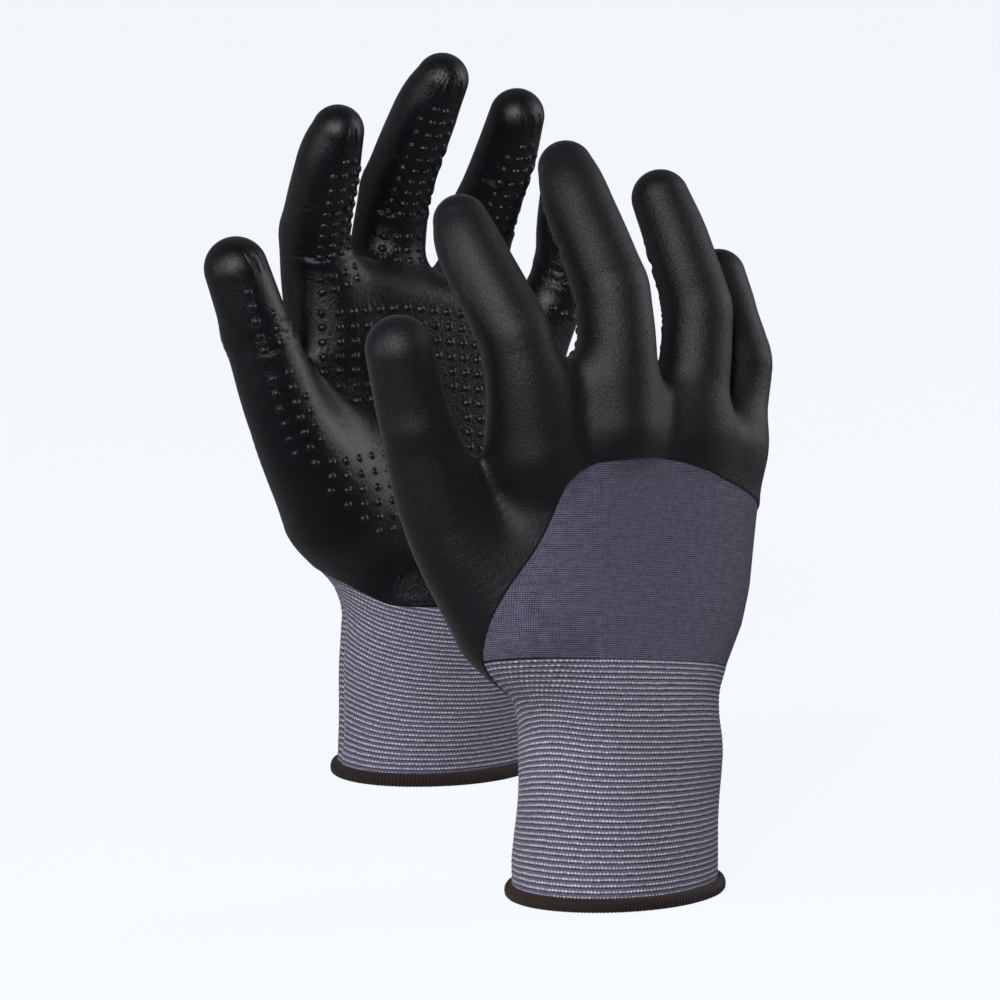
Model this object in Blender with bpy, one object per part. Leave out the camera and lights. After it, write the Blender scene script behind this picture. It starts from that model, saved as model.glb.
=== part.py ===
"""A pair of knitted work gloves with a three-quarter foam dip, standing on their cuffs.

The right glove is laid out in its own frame in millimetres: -x is the thumb side, +x the little
finger, +y the palm and z the height above the hem. The left glove is its mirror image. The two are
then turned and set apart on the floor. The scene is in metres.
"""

import math

import bmesh
import bpy
import numpy as np
from mathutils import Vector

for old in list(bpy.data.objects):
    bpy.data.objects.remove(old, do_unlink=True)

# Driving dimensions, mm and degrees
GLOVE_HEIGHT = 245.0  # hem to the tip of the middle finger
PALM_WIDTH = 98.0  # across the knuckles
WRIST_DEPTH = 56.0  # cuff, back to front
LINER = 0.9  # knit wall
COAT = 0.8  # foam wall
GAP = 0.25  # between layers and between neighbours
SLEEVE = 15.0  # flexible length at a knuckle
CUFF_TOP = 72.7  # where the stripes end, on the axis of the wrist
CUFF_TILT_X, CUFF_TILT_Y = 0.14, 0.276  # the end of the stripes climbs to the thumb and to the back
HEM_HEIGHT = 4.8
HEM_OUT = 3.0  # how far the hem roll stands proud of the cuff
TURN = 35.0  # both gloves, about the vertical
RIGHT_AT = (37.4, -70.0)
LEFT_AT = (-21.3, 130.0)

SIDES = 10  # round a finger
AROUND = 20  # round the palm and the cuff
SX = PALM_WIDTH / 98.0
SY = WRIST_DEPTH / 56.0
SZ = GLOVE_HEIGHT / 245.0

# Finger centre lines: root, middle knuckle, last knuckle, centre of the rounded tip; radii; the place of
# the hinge on the line, counted in those points; the side that the pad faces
FINGERS = {
    "index": dict(
        path=[(-38, -8.5, 150), (-44.2, -7, 182.7), (-49.8, 9.2, 211.2), (-50, 15.2, 221.6)],
        radii=[13.6, 11.7, 10.8, 8.8], hinge=1.12, pad=(0, 1, 0)),
    "middle": dict(
        path=[(-11.2, -15.6, 156), (-9.6, -10.8, 193.5), (-10.1, 8, 224.5), (-8.7, 16.2, 235.5)],
        radii=[13.6, 12.0, 10.9, 8.9], hinge=1.12, pad=(0, 1, 0)),
    "ring": dict(
        path=[(19, -12.2, 152), (25.1, -8.2, 184.6), (26, 3, 206.8), (25, 11.5, 221.6)],
        radii=[12.2, 11.0, 10.4, 9.3], hinge=1.12, pad=(0, 1, 0)),
    "little": dict(
        path=[(40, -3, 142), (49.8, 3, 164.4), (48.2, 5.7, 182), (46.6, 9.6, 194.3)],
        radii=[12, 10.3, 9.0, 8.7], hinge=1.15, pad=(0, 1, 0)),
    "thumb": dict(
        path=[(-41.6, 1.2, 94), (-62.8, 4.8, 126.5), (-75, 4.2, 158.5), (-82.3, 2.6, 181.2)],
        radii=[18.3, 13.6, 11.4, 10.7], hinge=2, pad=(0.5, 0.85, 0)),
}
# The fingertips of a pair never stand at quite the same height
TIP_LIFT = {
    "right": {"index": -2.2, "middle": -2.6, "ring": -0.6, "little": 0.0, "thumb": 2.4},
    "left": {"index": 2.0, "middle": 2.2, "ring": 0.6, "little": 0.0, "thumb": -2.4},
}
# Cross-sections of the wrist and palm: height, half width, half depth, centre
SECTIONS = [
    (0, 35.5, 29.0, -0.5, 0), (20, 35.3, 28.6, 0.0, 0), (45, 35.2, 28.0, 1.0, 0), (56, 34.9, 27.6, 0.8, 0),
    (64, 36.4, 26.6, -0.8, -0.8), (73, 40.2, 24.0, -2.0, -2.3), (85, 44.3, 21.5, -1.0, -3.4),
    (98, 46.3, 20.3, 0.0, -3.5), (111, 47.0, 19.2, 1.2, -3.5), (124, 47.5, 18.3, 2.3, -4.0),
]
# The knuckle line slopes down from the index to the little finger
KNUCKLE_LINE = [(-60, 174), (-45, 176), (-27, 176), (8, 167), (37, 153), (60, 146)]
# From the last section to the knuckle line: share of the way up, half width, half depth, centre y
CROWN = [(0.45, 48.5, 17.2, -4.8), (0.8, 48.0, 15.0, -5.5), (0.96, 45.0, 10.5, -6.0)]
# Height of the dip line at each angle about the wrist, 0 on the little finger side, 90 at the palm
DIP_RIGHT = [(0, 114), (12, 100), (25, 84), (45, 69), (65, 62), (90, 60.5), (130, 60.5), (153, 62),
             (168, 66), (178, 72), (184, 80), (187, 88), (190, 93.5), (195.5, 105), (198.5, 112.5),
             (200, 119), (203, 126), (209.5, 138), (216, 143), (224, 145), (248, 145.5), (270, 144.5),
             (294, 141.7), (315, 137.5), (331, 131), (345, 122.5)]
DIP_LEFT = [(0, 114), (12, 100), (25, 84), (45, 69), (65, 62), (90, 60.5), (138, 61), (154, 61.5),
            (165, 64.5), (172, 67), (177, 70), (186, 73), (200, 76), (212, 82), (220, 100), (227, 122),
            (236, 137), (250, 144), (270, 144.5), (294, 141.7), (315, 137.5), (331, 131), (345, 122.5)]


def power_of(z):
    return 2.6 - 0.6 * min(max((95 - z) / 30, 0), 1)


def palm_ring(z, a, b, cx, cy, power, grow, tilt=None):
    """A superellipse round the palm. tilt is the share of the way up to the sloping knuckle line."""
    ring = []
    for k in range(AROUND):
        t = 2 * math.pi * k / AROUND
        c, s = math.cos(t), math.sin(t)
        x = (a * SX + grow) * math.copysign(abs(c) ** (2 / power), c) + cx * SX
        y = (b * SY + grow) * math.copysign(abs(s) ** (2 / power), s) + cy * SY
        h = z
        if tilt is not None:
            line = np.interp(x / SX, [p[0] for p in KNUCKLE_LINE], [p[1] for p in KNUCKLE_LINE])
            h = z + tilt * (line - z)
        ring.append((x, y, h * SZ + (grow if tilt is not None and tilt > 0.9 else 0)))
    return ring


def section(z):
    return [float(np.interp(z, [s[0] for s in SECTIONS], [s[i] for s in SECTIONS])) for i in range(1, 5)]


def palm_solid(grow, start):
    levels = [start] + [s[0] for s in SECTIONS if s[0] > start + 1]
    rings = [palm_ring(z, *section(z), power_of(z), grow) for z in levels]
    for share, a, b, cy in CROWN:
        rings.append(palm_ring(SECTIONS[-1][0], a, b, 2, cy, 2.6, grow, share))
    rings.append(palm_ring(SECTIONS[-1][0], 36, 4.0, 2, -6, 2.6, grow, 1.0))
    return closed_loft(rings)


class Finger:
    """A centre line through its knuckles, with a radius and a frame at every point along it."""

    def __init__(self, lift, path, radii, hinge, pad):
        pts = np.array(path, float)
        pts[2:, 2] += (0.4 * lift, lift)
        pts *= (SX, SY, SZ)
        self.pts = np.vstack([2 * pts[0] - pts[1], pts, 2 * pts[-1] - pts[-2]])
        self.radii = [r * SX for r in radii]
        self.hinge = hinge
        tangent = self.tangent(hinge)
        self.axis = np.cross(tangent, np.array(pad, float))
        self.axis /= np.linalg.norm(self.axis)

    def point(self, s):
        if s < 0:
            return self.point(0) + self.tangent(0.01) * s * 10
        i = min(int(s), 2)
        t = s - i
        p0, p1, p2, p3 = self.pts[i:i + 4]
        return 0.5 * (2 * p1 + (p2 - p0) * t + (2 * p0 - 5 * p1 + 4 * p2 - p3) * t * t
                      + (3 * p1 - p0 - 3 * p2 + p3) * t ** 3)

    def tangent(self, s):
        d = self.point(min(s + 0.01, 3)) - self.point(min(max(s, 0), 3) - 0.01)
        return d / np.linalg.norm(d)

    def radius(self, s):
        return float(np.interp(s, [0, 1, 2, 3], self.radii))

    def along(self, distance):
        """The place that lies this far from the hinge, measured along the line."""
        s, step, gone = float(self.hinge), 0.002 * (1 if distance > 0 else -1), 0.0
        while gone < abs(distance):
            gone += float(np.linalg.norm(self.point(s + step) - self.point(s)))
            s += step
        return s

    def ring(self, s, radius, centre=None):
        t = self.tangent(s)
        a = self.axis - t * self.axis.dot(t)
        a /= np.linalg.norm(a)
        b = np.cross(t, a)
        c = self.point(s) if centre is None else centre
        turns = [2 * math.pi * k / SIDES for k in range(SIDES)]
        return [tuple(c + radius * (math.cos(u) * a + math.sin(u) * b)) for u in turns]

    def rings(self, start, end, grow, count):
        return [self.ring(s, self.radius(s) + grow) for s in np.linspace(start, end, count)]

    def tip_rings(self, grow):
        """The rounded end, up to a small last ring that a flat face closes."""
        t, r = self.tangent(3), self.radius(3) + grow
        return [self.ring(3, r * math.cos(u), self.point(3) + t * r * math.sin(u))
                for u in (math.radians(32), math.radians(62), math.radians(82))]


def closed_loft(rings):
    n = len(rings[0])
    verts = [p for ring in rings for p in ring]
    faces = [(n * i + k, n * i + (k + 1) % n, n * (i + 1) + (k + 1) % n, n * (i + 1) + k)
             for i in range(len(rings) - 1) for k in range(n)]
    first, last = len(verts), len(verts) + 1
    verts += [tuple(np.mean(rings[0], axis=0)), tuple(np.mean(rings[-1], axis=0))]
    top = n * (len(rings) - 1)
    faces += [(first, (k + 1) % n, k) for k in range(n)]
    faces += [(last, top + k, top + (k + 1) % n) for k in range(n)]
    return verts, faces


def shell(outer, inner, tip):
    """A wall between two sets of rings. With tip, both far ends are closed; without, they are joined."""
    n = len(outer[0])
    verts = [p for ring in outer + inner for p in ring]
    base = n * len(outer)
    faces = []
    for start, rings, flip in ((0, outer, False), (base, inner, True)):
        for i in range(len(rings) - 1):
            for k in range(n):
                f = (start + n * i + k, start + n * i + (k + 1) % n,
                     start + n * (i + 1) + (k + 1) % n, start + n * (i + 1) + k)
                faces.append(f[::-1] if flip else f)
    faces += [(k, base + k, base + (k + 1) % n, (k + 1) % n) for k in range(n)]
    o, q = n * (len(outer) - 1), base + n * (len(inner) - 1)
    if tip:
        faces.append(tuple(o + k for k in range(n)))
        faces.append(tuple(q + k for k in range(n))[::-1])
    else:
        faces += [(o + k, o + (k + 1) % n, q + (k + 1) % n, q + k) for k in range(n)]
    return verts, faces


def mesh_of(name, data):
    mesh = bpy.data.meshes.new(name)
    mesh.from_pydata([tuple(float(c) for c in v) for v in data[0]], [], data[1])
    bm = bmesh.new()
    bm.from_mesh(mesh)
    bmesh.ops.recalc_face_normals(bm, faces=bm.faces)
    bm.to_mesh(mesh)
    bm.free()
    return mesh


def combine(first, others, operation):
    """The Boolean of plain solids, worked out in millimetres and returned as points and faces."""
    made = [bpy.data.objects.new("work", mesh_of("work", d)) for d in [first] + others]
    for obj in made:
        bpy.context.scene.collection.objects.link(obj)
    for other in made[1:]:
        modifier = made[0].modifiers.new("cut", "BOOLEAN")
        modifier.operation, modifier.solver, modifier.object = operation, "EXACT", other
    bpy.context.view_layer.update()
    solid = bpy.data.meshes.new_from_object(made[0].evaluated_get(bpy.context.evaluated_depsgraph_get()))
    bm = bmesh.new()
    bm.from_mesh(solid)
    bmesh.ops.remove_doubles(bm, verts=bm.verts, dist=0.01)
    bmesh.ops.dissolve_degenerate(bm, edges=bm.edges, dist=0.01)
    bmesh.ops.triangulate(bm, faces=bm.faces)
    data = [tuple(v.co) for v in bm.verts], [tuple(v.index for v in f.verts) for f in bm.faces]
    bm.free()
    for obj in made:
        bpy.data.objects.remove(obj, do_unlink=True)
    return data


def hand_solid(fingers, grow, start, extra):
    """The palm with five finger roots. extra runs the roots on, so that a cavity opens their ends."""
    roots = []
    for finger in fingers.values():
        end = finger.along(-SLEEVE / 2)
        rings = [finger.ring(0, 0.62 * finger.radius(0) + grow,
                             finger.point(0) - finger.tangent(0) * (13 + grow))]
        rings += finger.rings(0.0, end, grow, 3)
        if extra:
            rings.append(finger.ring(end, finger.radius(end) + grow,
                                     finger.point(end) + finger.tangent(end) * extra))
        roots.append(closed_loft(rings))
    return combine(palm_solid(grow, start), roots, "UNION")


def dip_cutter(table):
    """Everything below the dip line, so that taking it away leaves the line on the coating.

    Its rings crowd together where the wall is, so that the line runs smoothly from angle to angle."""
    angles = list(range(0, 360, 8))
    heights = np.interp(angles, [t[0] for t in table] + [360], [t[1] for t in table] + [table[0][1]])
    rings = []
    for size, low in ((0.1, True), (3.2, True), (3.2, False), (1.35, False), (1.15, False), (1.0, False),
                      (0.85, False), (0.65, False), (0.1, False)):
        ring = []
        for u, h in zip(np.radians(angles), heights):
            reach = size * 42 * 24 / math.hypot(24 * math.cos(u), 42 * math.sin(u))
            ring.append((reach * SX * math.cos(u), reach * SY * math.sin(u), -20.0 if low else h * SZ))
        rings.append(ring)
    return closed_loft(rings)


def cuff_cutter(above, clear):
    """Everything above or below the sloping line where the stripes end, less a clearance."""
    sheet = []
    for x, y in ((-150, -150), (150, -150), (150, 150), (-150, 150)):
        height = (CUFF_TOP - CUFF_TILT_X * x / SX - CUFF_TILT_Y * y / SY) * SZ
        sheet.append((x, y, height + (clear if above else -clear)))
    far = [(x, y, 400.0 if above else -200.0) for x, y, _ in sheet]
    return closed_loft([sheet, far] if above else [far, sheet])


def hem_data():
    """A rounded roll with a flat foot and a slot from above that takes the cut edge of the cuff."""
    z, a, b, cx, cy = 0, *section(0)
    slot_in, slot_out = -LINER - GAP, GAP
    profile = [(-LINER - 1.4, 0.9), (-LINER - 0.9, 0), (HEM_OUT - 1.3, 0), (HEM_OUT, 1.5),
               (HEM_OUT, 3.2), (HEM_OUT - 1.2, HEM_HEIGHT), (slot_out, HEM_HEIGHT - 0.3),
               (slot_out, 2.0), (slot_in, 2.0), (slot_in, HEM_HEIGHT - 0.6),
               (-LINER - 1.4, HEM_HEIGHT - 1.2)]
    n = AROUND
    rings = [palm_ring(0, a, b, cx, cy, 2.0, off - COAT - GAP) for off, _ in profile]
    verts = [(x, y, h) for ring, (_, h) in zip(rings, profile) for x, y, _ in ring]
    m = len(profile)
    faces = [(n * i + k, n * i + (k + 1) % n, n * ((i + 1) % m) + (k + 1) % n, n * ((i + 1) % m) + k)
             for i in range(m) for k in range(n)]
    return verts, faces


def cuff_data():
    """The striped tube: the same surface as the knitted hand, from the hem's slot to the sloping line."""
    foot = (2.0 + GAP) / SZ
    tube = combine(palm_solid(-COAT - GAP, foot), [palm_solid(-COAT - GAP - LINER, foot - 3)], "DIFFERENCE")
    return combine(tube, [cuff_cutter(True, -GAP / 2)], "DIFFERENCE")


def glove_pieces(side, table):
    """Every node of a glove, laid out as a right one: name, points and faces, finger or None, material."""
    fingers = {name: Finger(TIP_LIFT[side][name], **f) for name, f in FINGERS.items()}
    liner = combine(hand_solid(fingers, -GAP - COAT, 50, 0),
                    [hand_solid(fingers, -GAP - COAT - LINER, 49, 3)], "DIFFERENCE")
    liner = combine(liner, [cuff_cutter(False, -GAP / 2)], "DIFFERENCE")
    coat = combine(hand_solid(fingers, 0, 56, 0), [hand_solid(fingers, -COAT, 55, 3)], "DIFFERENCE")
    coat = combine(coat, [dip_cutter(table)], "DIFFERENCE")
    pieces = [("hem", hem_data(), None, "hem"), ("cuff", cuff_data(), None, "cuff"),
              ("liner", liner, None, "liner"), ("coating", coat, None, "coat")]
    wall = LINER + GAP + COAT
    for name, finger in fingers.items():
        low, high = finger.along(-SLEEVE / 2 + GAP), finger.along(SLEEVE / 2 - GAP)
        pieces.append((name + "_knuckle", shell(finger.rings(low, high, 0, 3),
                       finger.rings(low, high, -wall, 3), False), finger, "coat"))
        low = finger.along(SLEEVE / 2)
        count = 6 - int(finger.hinge)
        outer = finger.rings(low, 3, 0, count) + finger.tip_rings(0)
        inner = finger.rings(low, 3, -wall, count) + finger.tip_rings(-wall)
        pieces.append((name + "_finger", shell(outer, inner, True), finger, "coat"))
    return pieces


COLOURS = {"hem": (0.03, 0.014, 0.009), "cuff": (0.26, 0.24, 0.31), "liner": (0.11, 0.09, 0.145),
           "coat": (0.012, 0.012, 0.014)}
ROUGH = {"hem": 0.8, "cuff": 0.85, "liner": 0.85, "coat": 0.55}


def placed(points, left):
    """Own frame to the floor: the left glove is mirrored, then both are turned and set apart."""
    p = np.array(points, float).reshape(-1, 3)
    if left:
        p[:, 1] *= -1
    c, s = math.cos(math.radians(TURN)), math.sin(math.radians(TURN))
    at = LEFT_AT if left else RIGHT_AT
    return np.stack([p[:, 0] * c - p[:, 1] * s + at[0], p[:, 0] * s + p[:, 1] * c + at[1], p[:, 2]], 1)


nodes = []
for side, table in (("right", DIP_RIGHT), ("left", DIP_LEFT)):
    for name, (verts, faces), finger, kind in glove_pieces(side, table):
        points = placed(verts, side == "left")
        hinge = None
        if finger is not None:
            hinge = placed([finger.point(finger.hinge)], side == "left")[0]
            tip = placed([finger.point(finger.hinge) + finger.axis * 10], side == "left")[0]
            axis = (tip - hinge) / 10 * (-1 if side == "left" else 1)
        nodes.append((side + "_" + name, points, faces, hinge, kind, None if hinge is None else axis))

everything = np.vstack([n[1] for n in nodes])
low, high = everything.min(axis=0), everything.max(axis=0)
shift = np.array([(low[0] + high[0]) / 2, (low[1] + high[1]) / 2, low[2]])
for name, points, faces, hinge, kind, axis in nodes:
    origin = shift * 0 if hinge is None else hinge - shift
    local = (points - shift - origin) / 1000
    mesh = mesh_of(name, (local, faces))
    obj = bpy.data.objects.new(name, mesh)
    obj.location = Vector([float(c) / 1000 for c in origin])
    bpy.context.scene.collection.objects.link(obj)
    material = bpy.data.materials.new(name)
    material.use_nodes = True
    shader = material.node_tree.nodes["Principled BSDF"]
    shader.inputs["Base Color"].default_value = (*COLOURS[kind], 1)
    shader.inputs["Roughness"].default_value = ROUGH[kind]
    mesh.materials.append(material)
    for polygon in mesh.polygons:
        polygon.use_smooth = True
    mesh.set_sharp_from_angle(angle=math.radians(40))
    if hinge is not None and name.endswith("_finger"):
        print("HINGE", name, [round(float(c), 2) for c in origin], [round(float(c), 4) for c in axis])
print("SHIFT", [round(float(c), 3) for c in shift], "SIZE", [round(float(c), 2) for c in high - low])
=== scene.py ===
import math

import bpy
import numpy as np
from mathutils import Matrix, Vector


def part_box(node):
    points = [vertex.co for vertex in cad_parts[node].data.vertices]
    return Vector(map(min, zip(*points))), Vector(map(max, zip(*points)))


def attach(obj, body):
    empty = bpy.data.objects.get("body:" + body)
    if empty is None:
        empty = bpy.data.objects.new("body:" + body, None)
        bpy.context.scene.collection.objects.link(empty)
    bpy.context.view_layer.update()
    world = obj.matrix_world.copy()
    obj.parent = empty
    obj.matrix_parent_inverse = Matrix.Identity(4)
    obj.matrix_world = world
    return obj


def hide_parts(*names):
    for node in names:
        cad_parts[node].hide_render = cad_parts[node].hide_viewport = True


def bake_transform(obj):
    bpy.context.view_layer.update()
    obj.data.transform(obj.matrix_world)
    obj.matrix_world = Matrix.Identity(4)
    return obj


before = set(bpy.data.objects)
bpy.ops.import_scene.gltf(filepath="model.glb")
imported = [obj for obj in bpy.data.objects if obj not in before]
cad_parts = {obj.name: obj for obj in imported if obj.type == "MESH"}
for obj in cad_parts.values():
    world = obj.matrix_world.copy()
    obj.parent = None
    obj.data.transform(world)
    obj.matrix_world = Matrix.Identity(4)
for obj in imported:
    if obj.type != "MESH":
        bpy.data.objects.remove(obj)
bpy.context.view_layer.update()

# Shape of the right glove in its own frame, mm: -x thumb side, +y palm, z up from the hem.
TURN = math.radians(35)
SLEEVE = 15.0
FINGERS = {
    "index": dict(path=[(-38, -8.5, 150), (-44.2, -7, 182.7), (-49.8, 9.2, 211.2), (-50, 15.2, 221.6)],
                  radii=[13.6, 11.7, 10.8, 8.8], hinge=1.12, pad=(0, 1, 0)),
    "middle": dict(path=[(-11.2, -15.6, 156), (-9.6, -10.8, 193.5), (-10.1, 8, 224.5), (-8.7, 16.2, 235.5)],
                   radii=[13.6, 12.0, 10.9, 8.9], hinge=1.12, pad=(0, 1, 0)),
    "ring": dict(path=[(19, -12.2, 152), (25.1, -8.2, 184.6), (26, 3, 206.8), (25, 11.5, 221.6)],
                 radii=[12.2, 11.0, 10.4, 9.3], hinge=1.12, pad=(0, 1, 0)),
    "little": dict(path=[(40, -3, 142), (49.8, 3, 164.4), (48.2, 5.7, 182), (46.6, 9.6, 194.3)],
                   radii=[12, 10.3, 9.0, 8.7], hinge=1.15, pad=(0, 1, 0)),
    "thumb": dict(path=[(-41.6, 1.2, 94), (-62.8, 4.8, 126.5), (-75, 4.2, 158.5), (-82.3, 2.6, 181.2)],
                  radii=[18.3, 13.6, 11.4, 10.7], hinge=2, pad=(0.5, 0.85, 0)),
}
TIP_LIFT = {
    "right": {"index": -2.2, "middle": -2.6, "ring": -0.6, "little": 0.0, "thumb": 2.4},
    "left": {"index": 2.0, "middle": 2.2, "ring": 0.6, "little": 0.0, "thumb": -2.4},
}
# Height, half width, half depth, centre of the wrist and palm
PALM = np.array([
    (-20, 35.5, 29, -0.5, 0), (0, 35.5, 29, -0.5, 0), (20, 35.3, 28.6, 0.0, 0), (45, 35.2, 28, 1.0, 0),
    (56, 34.9, 27.6, 0.8, 0), (64, 36.4, 26.6, -0.8, -0.8), (73, 40.2, 24, -2.0, -2.3),
    (85, 44.3, 21.5, -1.0, -3.4), (98, 46.3, 20.3, 0, -3.5), (111, 47, 19.2, 1.2, -3.5),
    (124, 47.5, 18.3, 2.3, -4.0), (137, 48, 17.6, 2, -4.6), (150, 48.5, 16.8, 2, -5.5),
    (162, 48.5, 15, 2, -6), (176, 47, 12.5, 2, -7), (200, 45, 10, 2, -7)], float)
KNUCKLE_LINE = np.array([(-60, 174), (-45, 176), (-27, 176), (8, 167), (37, 153), (60, 146)], float)
CUFF = (72.7, 0.14, 0.276)  # where the stripes end: height on the axis, and its fall along x and y
CUFF_LOW = 3.4  # where the stripes start, inside the hem
WRIST = (34.5, 28.0)  # half width and half depth that the stitches are spaced by

# Faces below the coating's face, mm
KNIT_FACE = -0.6
HEM_FACE = -1.05
LINING_FACE = -2.0

# Counts round the cuff and up it
ROUND = 172
STRIPES = 43
THREADS = 172
DIP = {
    "right": [(0, 114), (12, 100), (25, 84), (45, 69), (65, 62), (90, 60.5), (130, 60.5), (153, 62),
              (168, 66), (178, 72), (184, 80), (187, 88), (190, 93.5), (195.5, 105), (198.5, 112.5),
              (200, 119), (203, 126), (209.5, 138), (216, 143), (224, 145), (248, 145.5), (270, 144.5),
              (294, 141.7), (315, 137.5), (331, 131), (345, 122.5), (360, 114)],
    "left": [(0, 114), (12, 100), (25, 84), (45, 69), (65, 62), (90, 60.5), (138, 61), (154, 61.5),
             (165, 64.5), (172, 67), (177, 70), (186, 73), (200, 76), (212, 82), (220, 100), (227, 122),
             (236, 137), (250, 144), (270, 144.5), (294, 141.7), (315, 137.5), (331, 131), (345, 122.5),
             (360, 114)],
}


class Line:
    """A finger's centre line, its radius along it, and a frame at its hinge."""

    def __init__(self, lift, path, radii, hinge, pad):
        p = np.array(path, float)
        p[2:, 2] += (0.4 * lift, lift)
        p = np.vstack([2 * p[0] - p[1], p, 2 * p[-1] - p[-2]])
        n = 12
        pts = []
        for i in range(3):
            a, b, c, d = p[i:i + 4]
            for t in np.arange(n) / n:
                pts.append(0.5 * (2 * b + (c - a) * t + (2 * a - 5 * b + 4 * c - d) * t * t
                                  + (3 * b - a - 3 * c + d) * t ** 3))
        self.pts = np.array(pts + [p[4]])
        self.s = np.linspace(0, 3, len(self.pts))
        self.r = np.interp(self.s, range(4), radii)
        step = np.linalg.norm(np.diff(self.pts, axis=0), axis=1)
        self.arc = np.concatenate([[0], np.cumsum(step)])
        self.hinge = float(hinge)
        self.hinge_arc = float(np.interp(hinge, self.s, self.arc))
        self.total = float(self.arc[-1])
        t = self.tangent(self.hinge_arc)
        self.axis = np.cross(t, np.array(pad, float))
        self.axis /= np.linalg.norm(self.axis)

    def point(self, arc):
        over = max(arc - self.total, 0)
        p = np.array([np.interp(arc, self.arc, self.pts[:, i]) for i in range(3)])
        return p + over * self.tangent(self.total)

    def tangent(self, arc):
        a, b = min(max(arc - 1.5, 0), self.total - 3), max(min(arc + 1.5, self.total), 3)
        p, q = [np.array([np.interp(v, self.arc, self.pts[:, i]) for i in range(3)]) for v in (a, b)]
        return (q - p) / np.linalg.norm(q - p)

    def radius(self, arc):
        return float(np.interp(arc, self.arc, self.r))

    def frame_at(self, arc):
        """(tangent, across, pad side) at that length along the line."""
        t = self.tangent(arc)
        a = self.axis - t * self.axis.dot(t)
        a /= np.linalg.norm(a)
        return t, a, np.cross(a, t)

    def nearest(self, p):
        """(distance to the tube's face, length along the line) of each point."""
        if len(p) < 3000:
            start, along = self.pts[:-1], np.diff(self.pts, axis=0)
            from_start = p[:, None] - start
            t = np.clip((from_start * along).sum(2) / (along * along).sum(1), 0, 1)
            off = from_start - t[:, :, None] * along
            d = np.sqrt((off * off).sum(2)) - (self.r[:-1] + np.diff(self.r) * t)
            k, row = d.argmin(1), np.arange(len(p))
            return d[row, k], self.arc[k] + t[row, k] * np.diff(self.arc)[k]
        best = np.full(len(p), 1e9)
        arc = np.zeros(len(p))
        for i in range(len(self.pts) - 1):
            a, ab = self.pts[i], self.pts[i + 1] - self.pts[i]
            t = np.clip((p - a) @ ab / (ab @ ab), 0, 1)
            q = p - a - t[:, None] * ab
            d = np.sqrt((q * q).sum(1)) - (self.r[i] + (self.r[i + 1] - self.r[i]) * t)
            m = d < best
            best[m] = d[m]
            arc[m] = self.arc[i] + t[m] * (self.arc[i + 1] - self.arc[i])
        return best, arc


LINES = {}  # the finger lines of the glove in hand


def lines_of(side):
    """That glove's fingers, each with its own tip height."""
    return {name: Line(TIP_LIFT[side][name], **f) for name, f in FINGERS.items()}


FOUR = ("index", "middle", "ring", "little")


def smin(a, b, k):
    """The smaller of two distances, blended over k mm."""
    h = np.maximum(k - np.abs(a - b), 0) / k
    return np.minimum(a, b) - h * h * k * 0.25


def tube(p, name, margin=26.0):
    """Distance to a finger's tube. Far from it the box round it gives a rough, safe distance."""
    line = LINES[name]
    low, high = line.pts.min(0) - line.r.max(), line.pts.max(0) + line.r.max()
    out = np.linalg.norm(np.maximum(np.maximum(low - p, p - high), 0), axis=1)
    d = out + 3.0
    near = out < margin
    d[near] = line.nearest(p[near])[0]
    return d


def palm(p):
    """Distance to the wrist and palm, a superellipse whose size changes with height."""
    z = p[:, 2]
    a, b, cx, cy = [np.interp(z, PALM[:, 0], PALM[:, i]) for i in (1, 2, 3, 4)]
    n = 2.6 - 0.6 * np.clip((95 - z) / 30, 0, 1)
    u = np.abs(p[:, 0] - cx) / a + 1e-6
    v = np.abs(p[:, 1] - cy) / b + 1e-6
    rho = (u ** n + v ** n) ** (1 / n)
    gx = rho ** (1 - n) * u ** (n - 1) / a
    gy = rho ** (1 - n) * v ** (n - 1) / b
    d = (rho - 1) / np.sqrt(gx * gx + gy * gy + 1e-9)
    top = np.interp(p[:, 0], KNUCKLE_LINE[:, 0], KNUCKLE_LINE[:, 1])
    return -smin(-d, top - z, 10.0)


def hand(p):
    """Distance to the glove's face, mm: palm, fingers and thumb run together at their webs."""
    web = tube(p, "index")
    for name in FOUR[1:]:
        web = smin(web, tube(p, name), 4.0)
    return smin(smin(palm(p), web, 9.0), tube(p, "thumb"), 16.0)


def gradient(fn, p, e=0.05):
    g = np.zeros_like(p)
    for i in range(3):
        d = np.zeros(3)
        d[i] = e
        g[:, i] = (fn(p + d) - fn(p - d)) / (2 * e)
    return g


def settle(p, level, times=3):
    """Moves points onto the hand's level set."""
    for _ in range(times):
        g = gradient(hand, p)
        p = p - ((hand(p) - level) / np.maximum((g * g).sum(1), 0.05))[:, None] * g
    return p


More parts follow.
